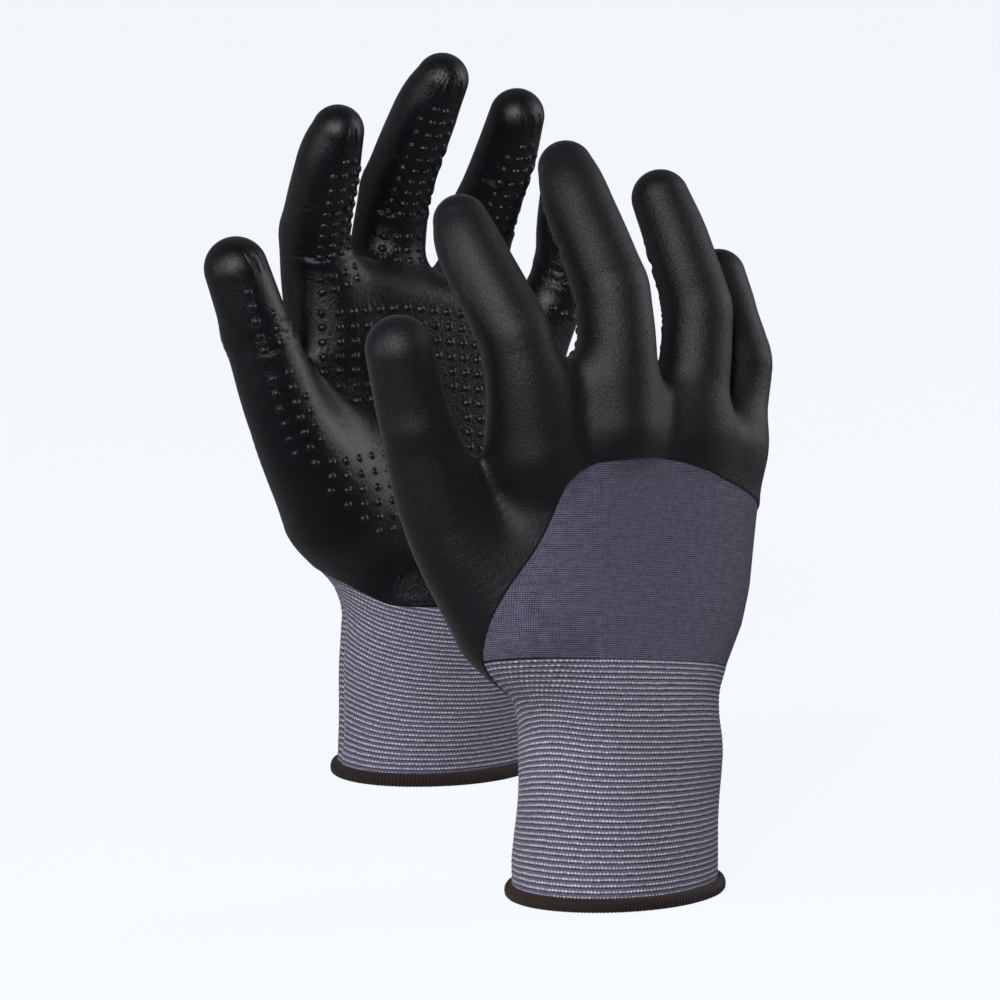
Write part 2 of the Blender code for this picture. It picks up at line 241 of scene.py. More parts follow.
def nets(level, low, high, h):
    """Surface nets: (points, quads) of the hand's level set. Fine samples are taken only near the surface."""
    k = 4
    n = [int(math.ceil((high[i] - low[i]) / (h * k))) * k + 1 for i in range(3)]
    axes = [low[i] + h * np.arange(n[i]) for i in range(3)]
    coarse = [a[::k] for a in axes]
    grid = np.stack(np.meshgrid(*coarse, indexing="ij"), -1).reshape(-1, 3)
    rough = (hand(grid) - level).reshape([len(c) for c in coarse])
    # every fine sample starts from the nearest coarse one
    field = np.repeat(np.repeat(np.repeat(rough, k, 0), k, 1), k, 2)
    field = np.pad(field, [(k // 2, 0)] * 3, mode="edge")[:n[0], :n[1], :n[2]].astype(np.float64)
    near = np.abs(field) < h * k * 1.9
    i, j, l = np.nonzero(near)
    pts = np.stack([axes[0][i], axes[1][j], axes[2][l]], 1)
    for at in range(0, len(pts), 200000):
        part = slice(at, at + 200000)
        field[i[part], j[part], l[part]] = hand(pts[part]) - level
    inside = field < 0
    corners = [(a, b, c) for a in (0, 1) for b in (0, 1) for c in (0, 1)]
    total = sum(inside[a:n[0] - 1 + a, b:n[1] - 1 + b, c:n[2] - 1 + c].astype(np.int8) for a, b, c in corners)
    active = (total > 0) & (total < 8)
    index = -np.ones(active.shape, np.int64)
    index[active] = np.arange(active.sum())
    cell = np.stack(np.nonzero(active), 1)
    acc, count = np.zeros((len(cell), 3)), np.zeros(len(cell))
    for a in range(8):
        for b in range(a + 1, 8):
            p, q = np.array(corners[a]), np.array(corners[b])
            if np.abs(p - q).sum() != 1:
                continue
            fa, fb = [field[tuple((cell + c).T)] for c in (p, q)]
            m = (fa < 0) != (fb < 0)
            t = np.where(m, fa / (fa - fb + 1e-20), 0)
            acc += np.where(m[:, None], p + t[:, None] * (q - p), 0)
            count += m
    points = (acc / count[:, None] + cell) * h + np.array([a[0] for a in axes])
    quads = []
    for axis in range(3):
        s = [slice(1, -1)] * 3
        s[axis] = slice(0, -1)
        e = list(s)
        e[axis] = slice(1, None)
        first, second = inside[tuple(s)], inside[tuple(e)]
        m = first != second
        base = np.stack(np.nonzero(m), 1) + np.array([int(q != axis) for q in range(3)])
        du, dv = [np.array([int(q == w) for q in range(3)]) for w in range(3) if w != axis]
        f = np.stack([index[tuple(v.T)] for v in (base - du - dv, base - dv, base, base - du)], 1)
        flip = first[m] == (axis != 1)
        f[~flip] = f[~flip][:, ::-1]
        quads.append(f)
    return points, np.vstack(quads)


def normals_of(points, tris):
    n = np.cross(points[tris[:, 1]] - points[tris[:, 0]], points[tris[:, 2]] - points[tris[:, 0]])
    out = np.zeros_like(points)
    for i in range(3):
        np.add.at(out, tris[:, i], n)
    return out / np.maximum(np.linalg.norm(out, axis=1), 1e-12)[:, None]


def clip(data, tris, field, keep):
    """The part of a mesh where field > 0 (or < 0), cut through its triangles. data is one row per point."""
    f = np.where(np.abs(field) < 1e-6, 1e-6, field) * (1 if keep > 0 else -1)
    ins = f > 0
    count = ins[tris].sum(1)
    kept = [tris[count == 3]]
    at = len(data)
    one, two = tris[count == 1], tris[count == 2]
    # turn each triangle so that its odd corner comes first
    order = np.arange(3)[None]
    one = np.take_along_axis(one, (order + ins[one].argmax(1)[:, None]) % 3, 1)
    two = np.take_along_axis(two, (order + (~ins[two]).argmax(1)[:, None]) % 3, 1)
    edges = np.concatenate([one[:, [0, 1]], one[:, [0, 2]], two[:, [0, 1]], two[:, [0, 2]]])
    if len(edges):
        order = np.sort(edges, 1)
        unique, inverse = np.unique(order, axis=0, return_inverse=True)
        inverse = inverse.reshape(-1)
        a, b = unique[:, 0], unique[:, 1]
        t = (f[a] / (f[a] - f[b]))[:, None]
        new = data[a] + t * (data[b] - data[a])
        ids = at + inverse
        m, w = len(one), len(two)
        p, q, r, s = ids[:m], ids[m:2 * m], ids[2 * m:2 * m + w], ids[2 * m + w:]
        kept.append(np.stack([one[:, 0], p, q], 1))
        kept.append(np.stack([r, two[:, 1], two[:, 2]], 1))
        kept.append(np.stack([r, two[:, 2], s], 1))
        data = np.vstack([data, new])
    tris = np.vstack(kept)
    used, inverse = np.unique(tris, return_inverse=True)
    return data[used], inverse.reshape(-1, 3)


def dip_field(p, side):
    """About how far above the dip line a point lies, mm."""
    table = np.array(DIP[side], float)
    angle = np.degrees(np.arctan2(p[:, 1], p[:, 0])) % 360
    fine = np.arange(0, 361, 2.0)
    line = np.interp(fine, table[:, 0], table[:, 1])
    smooth = np.concatenate([line[:-1]] * 3)
    kernel = np.hanning(9)
    smooth = np.convolve(smooth, kernel / kernel.sum(), "same")[len(line) - 1:2 * len(line) - 1]
    slope = np.gradient(smooth, np.radians(2.0))
    reach = np.maximum(np.hypot(p[:, 0], p[:, 1]), 10)
    h = np.interp(angle, fine, smooth)
    k = np.interp(angle, fine, slope) / reach
    return (p[:, 2] - h) / np.sqrt(1 + k * k)


def cuff_line(x, y):
    """The height at which the stripes end."""
    return CUFF[0] - CUFF[1] * x - CUFF[2] * y


def cuff_field(p):
    """How far above the end of the stripes a point lies, mm."""
    return p[:, 2] - cuff_line(p[:, 0], p[:, 1])


hem_boxes = {s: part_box(s + "_hem") for s in ("right", "left")}


def place(p, side):
    """Own frame, mm, to the row frame, m."""
    p = np.array(p, float).reshape(-1, 3)
    if side == "left":
        p = p * [1, -1, 1]
    c, s = math.cos(TURN), math.sin(TURN)
    low, high = hem_boxes[side]
    cx, cy = [500 * (low[i] + high[i]) for i in (0, 1)]
    cx, cy = cx + 0.5 * c, cy + 0.5 * s
    return np.stack([p[:, 0] * c - p[:, 1] * s + cx, p[:, 0] * s + p[:, 1] * c + cy, p[:, 2]], 1) / 1000


def turned(n, side):
    """A direction in the own frame, to the row frame."""
    n = np.array(n, float).reshape(-1, 3)
    if side == "left":
        n = n * [1, -1, 1]
    c, s = math.cos(TURN), math.sin(TURN)
    return np.stack([n[:, 0] * c - n[:, 1] * s, n[:, 0] * s + n[:, 1] * c, n[:, 2]], 1)


def make(name, side, parts):
    """One mesh object from parts: (points in the own frame, faces, normals or None, material, attributes)."""
    points = np.vstack([p[0] for p in parts])
    mesh = bpy.data.meshes.new(name)
    faces, mats, starts = [], [], np.cumsum([0] + [len(p[0]) for p in parts])
    for i, (start, part) in enumerate(zip(starts, parts)):
        f = np.array(part[1]) + start
        faces.append(f[:, ::-1] if side == "left" else f)
        mats.append(np.full(len(f), i))
    corners = np.concatenate([f.reshape(-1) for f in faces])
    sizes = np.concatenate([np.full(len(f), f.shape[1]) for f in faces])
    mesh.vertices.add(len(points))
    mesh.vertices.foreach_set("co", place(points, side).astype(np.float32).reshape(-1))
    mesh.loops.add(len(corners))
    mesh.loops.foreach_set("vertex_index", corners.astype(np.int32))
    mesh.polygons.add(len(sizes))
    mesh.polygons.foreach_set("loop_start", np.concatenate([[0], np.cumsum(sizes)[:-1]]).astype(np.int32))
    mesh.polygons.foreach_set("material_index", np.concatenate(mats).astype(np.int32))
    mesh.update(calc_edges=True)
    mesh.polygons.foreach_set("use_smooth", np.ones(len(sizes), bool))
    for part in parts:
        mesh.materials.append(part[3])
    keys = sorted({k for part in parts for k in part[4]})
    for key in keys:
        values = []
        for part in parts:
            v = part[4].get(key)
            values.append(np.zeros((len(part[0]), 3)) if v is None else np.array(v, float))
        attribute = mesh.attributes.new(key, "FLOAT_VECTOR", "POINT")
        attribute.data.foreach_set("vector", np.vstack(values).astype(np.float32).reshape(-1))
    n = [turned(part[2], side) if part[2] is not None else np.zeros((len(part[0]), 3)) for part in parts]
    mesh.normals_split_custom_set_from_vertices([tuple(v) for v in np.vstack(n)])
    obj = bpy.data.objects.new(name, mesh)
    bpy.context.scene.collection.objects.link(obj)
    return obj


# Materials ---------------------------------------------------------------------------------------

def srgb(r, g, b):
    return tuple(((c / 255 + 0.055) / 1.055) ** 2.4 if c > 10 else c / 255 / 12.92 for c in (r, g, b)) + (1,)


class Nodes:
    """A short way to write shader maths."""

    def __init__(self, name, roughness):
        self.material = bpy.data.materials.new(name)
        self.material.use_nodes = True
        self.tree = self.material.node_tree
        self.shader = self.tree.nodes["Principled BSDF"]
        self.shader.inputs["Roughness"].default_value = roughness

    def put(self, socket, value):
        if isinstance(value, (int, float)):
            socket.default_value = value
        elif isinstance(value, tuple):
            socket.default_value = value
        else:
            self.tree.links.new(value, socket)

    def math(self, kind, a, b=0.0, c=0.0, clamp=False):
        n = self.tree.nodes.new("ShaderNodeMath")
        n.operation, n.use_clamp = kind, clamp
        for socket, value in zip(n.inputs, (a, b, c)):
            self.put(socket, value)
        return n.outputs[0]

    def attribute(self, name):
        n = self.tree.nodes.new("ShaderNodeAttribute")
        n.attribute_name = name
        return n.outputs["Vector"]

    def split(self, vector):
        n = self.tree.nodes.new("ShaderNodeSeparateXYZ")
        self.put(n.inputs[0], vector)
        return n.outputs

    def noise(self, vector, scale, detail=3.0, rough=0.6):
        n = self.tree.nodes.new("ShaderNodeTexNoise")
        self.put(n.inputs["Vector"], vector)
        n.inputs["Scale"].default_value = scale
        n.inputs["Detail"].default_value = detail
        n.inputs["Roughness"].default_value = rough
        return n.outputs[0]

    def range(self, value, a, b, c, d, smooth=False):
        n = self.tree.nodes.new("ShaderNodeMapRange")
        n.interpolation_type = "SMOOTHSTEP" if smooth else "LINEAR"
        for socket, v in zip(n.inputs, (value, a, b, c, d)):
            self.put(socket, v)
        return n.outputs[0]

    def mix(self, factor, a, b):
        n = self.tree.nodes.new("ShaderNodeMix")
        n.data_type = "RGBA"
        self.put(n.inputs[0], factor)
        self.put(n.inputs[6], a)
        self.put(n.inputs[7], b)
        return n.outputs[2]

    def wave(self, value, turns=1.0, shift=0.0):
        """0.5 + 0.5 cos of value in turns."""
        t = self.math("MULTIPLY_ADD", value, 2 * math.pi * turns, 2 * math.pi * shift)
        return self.math("MULTIPLY_ADD", self.math("COSINE", t), 0.5, 0.5)

    def bump(self, height, distance, strength=1.0, normal=None):
        n = self.tree.nodes.new("ShaderNodeBump")
        n.inputs["Distance"].default_value = distance
        n.inputs["Strength"].default_value = strength
        self.put(n.inputs["Height"], height)
        if normal is not None:
            self.put(n.inputs["Normal"], normal)
        return n.outputs[0]


def coat_material(name, base, rough_back, rough_palm):
    """Foam nitrile: near black, matt and finely grained on the back, smoother on the palm."""
    m = Nodes(name, 0.5)
    rest = m.attribute("rest")
    palm_side = m.split(m.attribute("side"))[0]
    grain = m.noise(rest, 2.6, 2.0, 0.7)
    mottle = m.noise(rest, 0.16, 4.0, 0.55)
    pores = m.noise(rest, 1.1, 3.0, 0.6)
    dark, light = base
    m.put(m.shader.inputs["Base Color"], m.mix(m.range(mottle, 0.3, 0.7, 0, 1), dark, light))
    rough = m.math("ADD", m.range(palm_side, 0.0, 1.0, rough_back, rough_palm, True),
                   m.range(grain, 0.3, 0.7, -0.05, 0.07))
    m.put(m.shader.inputs["Roughness"], rough)
    coarse = m.bump(pores, 0.0003, 0.6)
    m.put(m.shader.inputs["Normal"], m.bump(grain, 0.0002, 0.7, coarse))
    m.shader.inputs["Specular IOR Level"].default_value = 0.45
    m.shader.inputs["Sheen Weight"].default_value = 0.06
    m.shader.inputs["Sheen Roughness"].default_value = 0.5
    return m.material


def knit_material(name):
    """Plain jersey: columns of small V stitches in a dusty purple yarn, coloured darker where the stitch
    height is low as painted shade in the gaps. 'st' holds wale and course counts.
    """
    m = Nodes(name, 0.85)
    u, v, _ = m.split(m.attribute("st"))
    rest = m.attribute("rest")
    leg = m.math("PINGPONG", u, 0.5)
    slanted = m.math("ADD", v, leg)
    loop = m.wave(slanted)
    between = m.wave(u, 2.0, 0.5)
    height = m.math("MULTIPLY", m.math("MULTIPLY_ADD", loop, 0.8, 0.2),
                    m.math("MULTIPLY_ADD", between, 0.55, 0.45))
    fuzz = m.noise(rest, 2.2, 3.0, 0.7)
    uneven = m.noise(m.attribute("st"), 0.35, 2.0, 0.6)
    # painted shade: the colour follows the stitch height, dark in the gaps between loops and wales, plus
    # random fuzz and unevenness of the yarn
    tone_and_gap_shade = m.math("ADD", m.range(height, 0.15, 0.75, 0.0, 1.0),
                   m.math("ADD", m.range(fuzz, 0.3, 0.7, -0.12, 0.12),
                          m.range(uneven, 0.3, 0.7, -0.16, 0.16)),
                   clamp=True)
    m.put(m.shader.inputs["Base Color"], m.mix(tone_and_gap_shade, srgb(40, 35, 53), srgb(134, 128, 152)))
    m.put(m.shader.inputs["Normal"], m.bump(height, 0.00025, 0.8))
    m.shader.inputs["Sheen Weight"].default_value = 0.2
    m.shader.inputs["Sheen Roughness"].default_value = 0.5
    m.shader.inputs["Specular IOR Level"].default_value = 0.2
    return m.material


def cuff_material(name):
    """Rows of white beads of elastic on the grey-purple yarn, with a painted shadow in a shallow groove under
    each row.
    """
    m = Nodes(name, 0.85)
    st, rest = m.attribute("st"), m.attribute("rest")
    u, v, _ = m.split(st)
    row = m.math("FRACT", v)
    across = m.wave(m.math("MULTIPLY_ADD", m.math("FLOOR", v), 0.5, u))
    wander = m.range(m.noise(st, 0.3, 2.0, 0.6), 0.3, 0.7, -0.07, 0.07)
    patchy = m.noise(st, 0.85, 2.0, 0.6)
    from_line = m.math("ABSOLUTE", m.math("SUBTRACT", m.math("SUBTRACT", row, wander), 0.62))
    width = m.math("MULTIPLY_ADD", across, 0.11, 0.085)
    bead = m.range(m.math("SUBTRACT", from_line, width), -0.06, 0.07, 1.0, 0.0, True)
    # painted shadow: a dark band under each row of beads, patchy along it, also pressed in as a shallow
    # groove by the bump
    groove_shadow = m.range(m.math("ABSOLUTE", m.math("SUBTRACT", row, 0.27)), 0.03, 0.17, 1.0, 0.0, True)
    groove_shadow = m.math("MULTIPLY", groove_shadow, m.range(patchy, 0.35, 0.6, 0.95, 0.45))
    fuzz = m.noise(rest, 2.2, 3.0, 0.7)
    ground = m.mix(m.range(fuzz, 0.3, 0.7, 0, 1), srgb(74, 68, 88), srgb(132, 125, 146))
    ground = m.mix(groove_shadow, ground, srgb(34, 29, 46))
    white = m.mix(m.range(patchy, 0.35, 0.62, 0.0, 1.0), srgb(172, 168, 184), srgb(243, 241, 248))
    white = m.mix(m.math("MULTIPLY_ADD", across, 0.75, 0.25), srgb(138, 132, 154), white)
    m.put(m.shader.inputs["Base Color"], m.mix(bead, ground, white))
    m.put(m.shader.inputs["Normal"], m.bump(m.math("SUBTRACT", bead, groove_shadow), 0.00025, 0.7))
    m.shader.inputs["Sheen Weight"].default_value = 0.15
    m.shader.inputs["Specular IOR Level"].default_value = 0.2
    return m.material


def hem_material(name):
    m = Nodes(name, 0.75)
    u, v, _ = m.split(m.attribute("st"))
    rest = m.attribute("rest")
    ply = m.wave(m.math("MULTIPLY_ADD", v, 9.0, u))
    fuzz = m.noise(rest, 3.0, 3.0, 0.7)
    thread = m.wave(u)
    # painted shade: the colour darkens between the thread wraps, where the roll's ridges dip, times a random
    # fuzz tone
    tone_and_gap_shade = m.math("MULTIPLY", m.math("MULTIPLY_ADD", thread, 0.7, 0.3),
                   m.math("MULTIPLY_ADD", fuzz, 0.9, 0.4), clamp=True)
    m.put(m.shader.inputs["Base Color"], m.mix(tone_and_gap_shade, srgb(13, 8, 6), srgb(52, 33, 23)))
    m.put(m.shader.inputs["Normal"], m.bump(ply, 0.00008, 0.5))
    m.shader.inputs["Sheen Weight"].default_value = 0.15
    m.shader.inputs["Specular IOR Level"].default_value = 0.3
    return m.material


def lining_material(name):
    m = Nodes(name, 0.9)
    fuzz = m.noise(m.attribute("rest"), 1.5, 4.0, 0.7)
    m.put(m.shader.inputs["Base Color"], m.mix(fuzz, srgb(70, 62, 84), srgb(112, 104, 130)))
    m.put(m.shader.inputs["Normal"], m.bump(fuzz, 0.0002, 0.5))
    return m.material


COAT = coat_material("foam_coating", (srgb(8, 8, 12), srgb(12, 12, 18)), 0.47, 0.17)
KNITTED = knit_material("jersey")
CUFFED = cuff_material("striped_rib")
HEMMED = hem_material("overlock")
LINING = lining_material("lining")

# The hand's skin ---------------------------------------------------------------------------------

H = 1.25


def finger_places(p):
    """For each point: which finger is nearest, how far off its face, how far along it."""
    names = list(LINES)
    d = np.full((len(p), len(names)), 1e9)
    arc = np.zeros((len(p), len(names)))
    for i, name in enumerate(names):
        line = LINES[name]
        near = (np.maximum(line.pts.min(0) - 24 - p, p - line.pts.max(0) - 24).max(1)) < 0
        d[near, i], arc[near, i] = line.nearest(p[near])
    best = d.argmin(1)
    pick = np.arange(len(p))
    return best, d[pick, best], arc[pick, best]


def relief(p, n):
    """Soft folds of the worn glove: creases on the pads of the knuckles and shallow dents in the foam."""
    which, off, arc = finger_places(p)
    out = np.zeros(len(p))
    for i, (name, line) in enumerate(LINES.items()):
        on = (which == i) & (off < 4)
        if not on.any():
            continue
        q, a = p[on], arc[on]
        _, across, pad = line.frame_at(line.hinge_arc)
        facing = np.clip(n[on] @ pad, -1, 1)
        last = line.hinge_arc + (18 if name != "thumb" else 99)
        fold = np.zeros(on.sum())
        for where, deep in ((line.hinge_arc - 3.5, 0.9), (line.hinge_arc + 0.5, 0.6), (last, 0.6)):
            side = (q - line.point(line.hinge_arc)) @ across
            x = a - where + 0.5 * np.sin(side * 0.5 + i)
            fold += np.exp(-(x / 1.3) ** 2) * deep - 0.5 * deep * np.exp(-((np.abs(x) - 3) / 1.6) ** 2)
        bulge = 1.25 * np.exp(-((a - line.hinge_arc) / 5.5) ** 2)
        out[on] = -fold * np.clip(facing * 1.4, 0, 1) + bulge * np.clip(-facing, 0, 1)
    return out


def skin_of():
    """The glove's face with its folds, and a coarser inside: rows of point, normal and place at rest."""
    corners = (-104, -46, 50), (76, 50, 254)
    points, quads = nets(0.0, *corners, H)
    points = settle(points, 0.0)
    tris = np.vstack([quads[:, [0, 1, 2]], quads[:, [0, 2, 3]]])
    normals = normals_of(points, tris)
    points = points + normals * relief(points, normals)[:, None]
    skin = np.hstack([points, normals_of(points, tris), points])
    points, quads = nets(LINING_FACE, *corners, 3.6)
    points = settle(points, LINING_FACE)
    low_tris = np.vstack([quads[:, [0, 1, 2]], quads[:, [0, 2, 3]]])
    return skin, tris, np.hstack([points, normals_of(points, low_tris), points]), low_tris


CUT = SLEEVE / 2 + 1.5


def beyond(p, name):
    """How far a point lies past a finger's cut, mm. Points elsewhere on the glove read as well before it."""
    line = LINES[name]
    at = line.hinge_arc - CUT
    which, off, arc = finger_places(p)
    d = (p - line.point(at)) @ line.tangent(at)
    mine = (which == list(LINES).index(name)) & (off < 5) & (arc > at - 6)
    return np.where(mine, d, -5.0)


def cut_up(data, faces):
    """{finger: (data, faces)} past the cuts, and what is left."""
    pieces = {}
    for name in LINES:
        field = beyond(data[:, :3], name)
        pieces[name] = clip(data, faces, field, 1)
        data, faces = clip(data, faces, field, -1)
    return pieces, (data, faces)


def side_of(n):
    return np.stack([np.clip(n[:, 1] * 0.7 + 0.5, 0, 1)] * 3, 1)


def coat_part(data, faces):
    return (data[:, :3], faces, data[:, 3:6], COAT, {"rest": data[:, 6:9], "side": side_of(data[:, 3:6])})


def lining_part(data, faces):
    return (data[:, :3], faces[:, ::-1], -data[:, 3:6], LINING, {"rest": data[:, 6:9]})


def coated(side):
    """The coating of the palm and the finger roots, rolled down to the knit at the dip line."""
    data, faces = palm_skin
    parts = []
    bands = [(None, 1.0), (1.0, 0.6), (0.6, 0.3), (0.3, 0.1), (0.1, -0.02)]
    for high, low in bands:
        d, f = clip(data, faces, dip_field(data[:, 6:9], side) - low, 1)
        if high is not None:
            d, f = clip(d, f, dip_field(d[:, 6:9], side) - high, -1)
        g = np.clip(dip_field(d[:, 6:9], side), 0, 1.0)
        drop = KNIT_FACE * (1 - np.sqrt(np.clip(1 - (1 - g) ** 2, 0, 1)))
        lean = np.clip(1 - g / 0.7, 0, 1)[:, None] * 0.8
        d = d.copy()
        d[:, :3] += d[:, 3:6] * drop[:, None]
        grad = gradient(lambda q: dip_field(q, side), d[:, 6:9], 0.5)
        n = d[:, 3:6] - grad * lean
        d[:, 3:6] = n / np.linalg.norm(n, axis=1)[:, None]
        parts.append(coat_part(d, f))
    return parts


def wale(p, count):
    """Columns round the hand, counted from the middle of the palm, where the coating hides the join."""
    return ((np.degrees(np.arctan2(p[:, 1], p[:, 0])) - 90) % 360) / 360 * count


def knitted(side):
    """The knit in the window on the back of the hand, and a little way under the coating."""
    data, faces = palm_skin
    data, faces = clip(data, faces, dip_field(data[:, 6:9], side) - 1.5, -1)
    data, faces = clip(data, faces, cuff_field(data[:, 6:9]), 1)
    data = data.copy()
    data[:, :3] += data[:, 3:6] * KNIT_FACE
    p = data[:, 6:9]
    st = np.stack([wale(p, 270), cuff_field(p) / 0.68, 0 * p[:, 0]], 1)
    return [(data[:, :3], faces, data[:, 3:6], KNITTED, {"rest": p, "st": st})]


# Cuff, hem ---------------------------------------------------------------------------------------

def on_skin(angle, z, level):
    """Where a ray out from the wrist's axis at that angle and height meets the hand's level set."""
    direction = np.stack([np.cos(angle), np.sin(angle), 0 * angle], 1)
    low, high = np.full(len(angle), 12.0), np.full(len(angle), 62.0)
    for _ in range(22):
        mid = (low + high) / 2
        p = direction * mid[:, None] + np.stack([0 * z, 0 * z, z], 1)
        inside = hand(p) < level
        low, high = np.where(inside, mid, low), np.where(inside, high, mid)
    return direction * low[:, None] + np.stack([0 * z, 0 * z, z], 1)


def even_angles(count):
    """Angles about the wrist that split its girth evenly, from the middle of the palm."""
    t = np.radians(90) + np.linspace(0, 2 * math.pi, 2001)
    wide, deep = WRIST
    r = wide * deep / np.hypot(deep * np.cos(t), wide * np.sin(t))
    p = np.stack([r * np.cos(t), r * np.sin(t)], 1)
    arc = np.concatenate([[0], np.cumsum(np.linalg.norm(np.diff(p, axis=0), axis=1))])
    return np.interp(np.linspace(0, arc[-1], count + 1), arc, t)


def grid_faces(columns, rows):
    i, j = np.meshgrid(np.arange(columns - 1), np.arange(rows - 1), indexing="ij")
    a = (j * columns + i).reshape(-1)
    return np.stack([a, a + 1, a + 1 + columns, a + columns], 1)


def grid_normals(p, columns, rows):
    """Normals of a grid whose first and last columns are one."""
    g = p.reshape(rows, columns, 3)
    du = np.empty_like(g)
    du[:, 1:-1] = g[:, 2:] - g[:, :-2]
    du[:, 0] = du[:, -1] = g[:, 1] - g[:, -2]
    dv = np.gradient(g, axis=0)
    n = np.cross(du, dv).reshape(-1, 3)
    return n / np.maximum(np.linalg.norm(n, axis=1), 1e-12)[:, None]


def cuff(side):
    """The striped cuff: a row of beads for each stripe, and its plain lining."""
    per = 3
    columns, rows = ROUND * per + 1, STRIPES * 4 + 1
    angle = even_angles(columns - 1)
    # rows crowd towards the top
    share = np.linspace(0, 1, rows)
    share = share * (1.07 - 0.07 * share)
    base = np.empty((rows, columns, 3))
    top = on_skin(angle, np.full(columns, 76.0), KNIT_FACE)
    for _ in range(4):
        top = on_skin(angle, cuff_line(top[:, 0], top[:, 1]), KNIT_FACE)
    coarse = np.linspace(0, 1, 23)
    stack = np.array([on_skin(angle, CUFF_LOW + c * (top[:, 2] - CUFF_LOW), KNIT_FACE) for c in coarse])
    for j, c in enumerate(share):
        k = min(int(c * 22), 21)
        f = c * 22 - k
        base[j] = stack[k] * (1 - f) + stack[k + 1] * f
    p = base.reshape(-1, 3)
    u = np.tile(np.linspace(0, ROUND, columns), rows)
    v = np.repeat(np.linspace(0, STRIPES, rows), columns)
    n = grid_normals(p, columns, rows)
    # the worn cuff isn't a perfect tube: shallow waves, a fold down one side of the left one
    a = np.tile(angle, rows)
    z = p[:, 2]
    soft = (0.35 * np.sin(a * 3 + z * 0.07) + 0.3 * np.sin(z * 0.16 + a * 2 + 1)
            + 0.2 * np.sin(a * 7 + z * 0.11))
    fade = np.clip(z / 12, 0, 1) * np.clip((top[:, 2].min() - 2 - z) / 12, 0, 1)
    if side == "left":
        around = (np.degrees(a) % 360 - 196 + 180) % 360 - 180
        soft = soft - 1.1 * np.exp(-(around / 3.5) ** 2) + 0.5 * np.exp(-((around - 9) / 5) ** 2)
    lump = 0.16 * (0.5 - 0.5 * np.cos(2 * math.pi * (v - 0.12))) ** 1.5
    bead = 0.1 * np.cos(2 * math.pi * (u + 0.5 * np.floor(v)))
    last = np.clip((STRIPES - v) / 0.6, 0, 1)
    p = p + n * (soft * fade + (lump * (1 + bead)) * last)[:, None]
    n = grid_normals(p, columns, rows)
    outer = (p, grid_faces(columns, rows), n, CUFFED, {"rest": p, "st": np.stack([u, v, 0 * u], 1)})
    ca, cr = 73, 12
    angle = even_angles(ca - 1)
    top = on_skin(angle, np.full(ca, 76.0), LINING_FACE)
    for _ in range(3):
        top = on_skin(angle, cuff_line(top[:, 0], top[:, 1]), LINING_FACE)
    q = np.vstack([on_skin(angle, CUFF_LOW + c * (top[:, 2] - CUFF_LOW), LINING_FACE)
                   for c in np.linspace(0, 1, cr)])
    return [outer, (q, grid_faces(ca, cr)[:, ::-1], -grid_normals(q, ca, cr), LINING, {"rest": q})]


def hem():
    """The overlocked roll: threads wrap it side by side, and stitch loops hang along its lower edge."""
    per = 6
    columns, rows = THREADS * per + 1, 33
    angle = even_angles(columns - 1)
    path = on_skin(angle, np.full(columns, 1.0), HEM_FACE)
    path[:, 2] = 0
    t = np.gradient(path, axis=0)
    t[0] = t[-1] = path[1] - path[-2]
    t /= np.linalg.norm(t, axis=1)[:, None]
    out = np.stack([t[:, 1], -t[:, 0], 0 * t[:, 0]], 1)
    turn = np.linspace(0, 2 * math.pi, rows) - math.pi / 2
    u = np.tile(np.linspace(0, THREADS, columns), rows)
    v = np.repeat(np.linspace(0, 1, rows), columns)
    w = np.repeat(turn, columns)
    cs, sn = np.cos(w), np.sin(w)
    power = 2.4
    k = (np.abs(cs) ** power + np.abs(sn) ** power) ** (-1 / power)
    ridge = np.abs(np.cos(math.pi * (u + 1.2 * v)))
    loops = np.exp(-((np.degrees(w) + 42) / 13) ** 2) * (0.5 + 0.5 * np.cos(2 * math.pi * u * 0.5))
    slack = 0.1 * np.sin(u * 0.31) + 0.08 * np.sin(u * 0.83 + 1)
    grow = 0.24 * ridge - 0.24 + 0.35 * loops
    rx, rz = 2.72 + grow + slack * 0.6, 2.4 + np.minimum(grow, 0)
    centre = 0.35
    p = np.tile(path, (rows, 1)) + np.tile(out, (rows, 1)) * (centre + rx * k * cs)[:, None]
    p[:, 2] = np.clip(2.4 + rz * k * sn, 0.0, None)
    n = grid_normals(p, columns, rows)
    return [(p, grid_faces(columns, rows), n, HEMMED, {"rest": p, "st": np.stack([u, v, 0 * u], 1)})]


# Grip dots ---------------------------------------------------------------------------------------

def palm_surface(xz):
    """The palm side of the skin above (x, z), found by stepping in along -y from well outside."""
    p = np.stack([xz[:, 0], np.full(len(xz), 40.0), xz[:, 1]], 1)
    for _ in range(60):
        d = hand(p)
        p[:, 1] -= np.clip(d * 0.8, -2, 4)
    good = np.abs(hand(p)) < 0.05
    g = gradient(hand, p)
    g /= np.linalg.norm(g, axis=1)[:, None]
    return p, g, good


